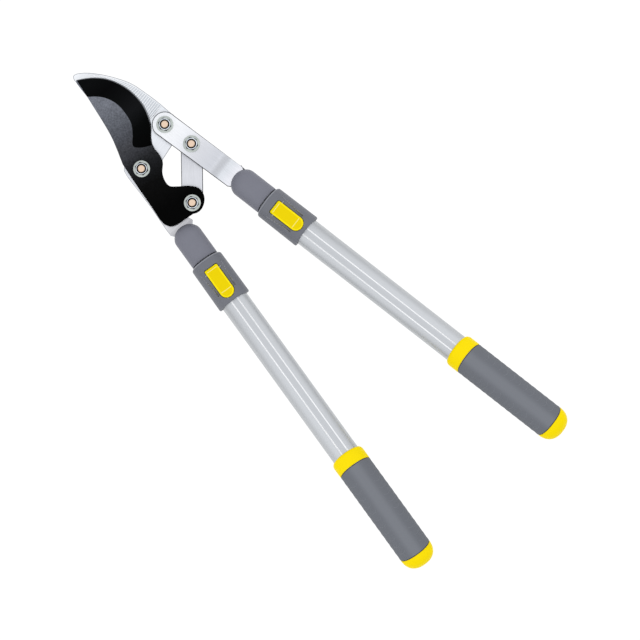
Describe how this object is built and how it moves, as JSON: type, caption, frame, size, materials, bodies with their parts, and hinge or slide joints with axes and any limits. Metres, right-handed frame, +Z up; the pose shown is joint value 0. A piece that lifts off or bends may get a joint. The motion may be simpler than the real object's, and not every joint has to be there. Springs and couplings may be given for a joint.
{
  "type": "bypass loppers",
  "caption": "Bypass loppers with toggle-linked blade, hooked anvil plate and telescopic handles locked by flip-up levers.",
  "frame": {"origin": "middle of the bottom of the bounding box, with the loppers lying flat, closed and retracted, pivot nuts up", "axes": "+Y from the grips towards the jaw tip along the tool's middle line; +X towards the handle that the lever plate carries; +Z up, out of the side with the nuts"},
  "size_m": [0.244, 0.6558, 0.0358],
  "materials": {
    "bright_steel": "ground and brushed bright steel plate",
    "coated_steel": "black low-friction coating, semi-gloss, fine speckle",
    "zinc_steel": "bright zinc-plated steel fasteners",
    "anodised_aluminium": "satin anodised extruded tube",
    "grey_polymer": "moulded satin grey nylon",
    "grey_rubber": "matt grey soft grip",
    "yellow_polymer": "moulded bright yellow nylon",
    "black_polymer": "black moulded nylon or elastomer",
    "natural_nylon": "natural nylon, hidden"
  },
  "bodies": {
    "head_and_left_handle": {"hook_plate": "bright_steel", "main_bolt": "zinc_steel", "main_washer": "zinc_steel", "main_nut": "zinc_steel", "main_nut_insert": "black_polymer", "lever_bolt": "zinc_steel", "lever_washer": "zinc_steel", "lever_nut": "zinc_steel", "lever_nut_insert": "black_polymer", "left_ferrule": "grey_polymer", "left_inner_tube": "anodised_aluminium", "left_tang_filler": "black_polymer", "left_tang_rivet_1": "zinc_steel", "left_tang_rivet_2": "zinc_steel", "left_stop_ring": "black_polymer", "left_glide": "natural_nylon"},
    "blade": {"cutting_blade": "coated_steel", "blade_link_bolt": "zinc_steel", "blade_link_washer": "zinc_steel", "blade_link_nut": "zinc_steel", "blade_link_nut_insert": "black_polymer"},
    "lever_and_right_handle": {"lever_plate": "bright_steel", "lever_link_bolt": "zinc_steel", "lever_link_washer": "zinc_steel", "lever_link_nut": "zinc_steel", "lever_link_nut_insert": "black_polymer", "right_ferrule": "grey_polymer", "right_inner_tube": "anodised_aluminium", "right_tang_filler": "black_polymer", "right_tang_rivet_1": "zinc_steel", "right_tang_rivet_2": "zinc_steel", "right_stop_ring": "black_polymer", "right_glide": "natural_nylon"},
    "link": {"toggle_link": "bright_steel"},
    "left_slide": {"left_outer_tube": "anodised_aluminium", "left_collar": "grey_polymer", "left_lock_pin": "zinc_steel", "left_clamp_shoe": "black_polymer", "left_grip_ring": "yellow_polymer", "left_grip_sleeve": "grey_rubber", "left_end_cap": "yellow_polymer"},
    "right_slide": {"right_outer_tube": "anodised_aluminium", "right_collar": "grey_polymer", "right_lock_pin": "zinc_steel", "right_clamp_shoe": "black_polymer", "right_grip_ring": "yellow_polymer", "right_grip_sleeve": "grey_rubber", "right_end_cap": "yellow_polymer"},
    "left_lock": {"left_lock_lever": "yellow_polymer"},
    "right_lock": {"right_lock_lever": "yellow_polymer"}
  },
  "joints": [
    {"name": "handle_open", "type": "hinge", "parent": "head_and_left_handle", "child": "lever_and_right_handle", "pos_m": [0.02457, 0.2193, 0.0185], "axis": [0, 0, 1], "range_deg": [0, 55]},
    {"name": "blade_swing", "type": "hinge", "parent": "head_and_left_handle", "child": "blade", "pos_m": [-0.02763, 0.2019, 0.0185], "axis": [0, 0, 1], "range_deg": [0, 31]},
    {"name": "link_turn", "type": "hinge", "parent": "lever_and_right_handle", "child": "link", "pos_m": [0.03087, 0.1836, 0.0185], "axis": [0, 0, 1], "range_deg": [-51, 0]},
    {"name": "left_extend", "type": "slide", "parent": "head_and_left_handle", "child": "left_slide", "axis": [-0.1406, -0.9901, 0], "range_m": [0, 0.25]},
    {"name": "right_extend", "type": "slide", "parent": "lever_and_right_handle", "child": "right_slide", "axis": [0.1406, -0.9901, 0], "range_m": [0, 0.25]},
    {"name": "left_lock_flip", "type": "hinge", "parent": "left_slide", "child": "left_lock", "pos_m": [-0.04927, 0.06625, 0.0306], "axis": [-0.9901, 0.1406, 0], "range_deg": [0, 50]},
    {"name": "right_lock_flip", "type": "hinge", "parent": "right_slide", "child": "right_lock", "pos_m": [0.04927, 0.06625, 0.0306], "axis": [-0.9901, -0.1406, 0], "range_deg": [0, 50]}
  ],
  "couplings": [
    {"joint": "blade_swing", "follows": "handle_open", "ratio": 0.557},
    {"joint": "link_turn", "follows": "handle_open", "ratio": -0.918}
  ]
}
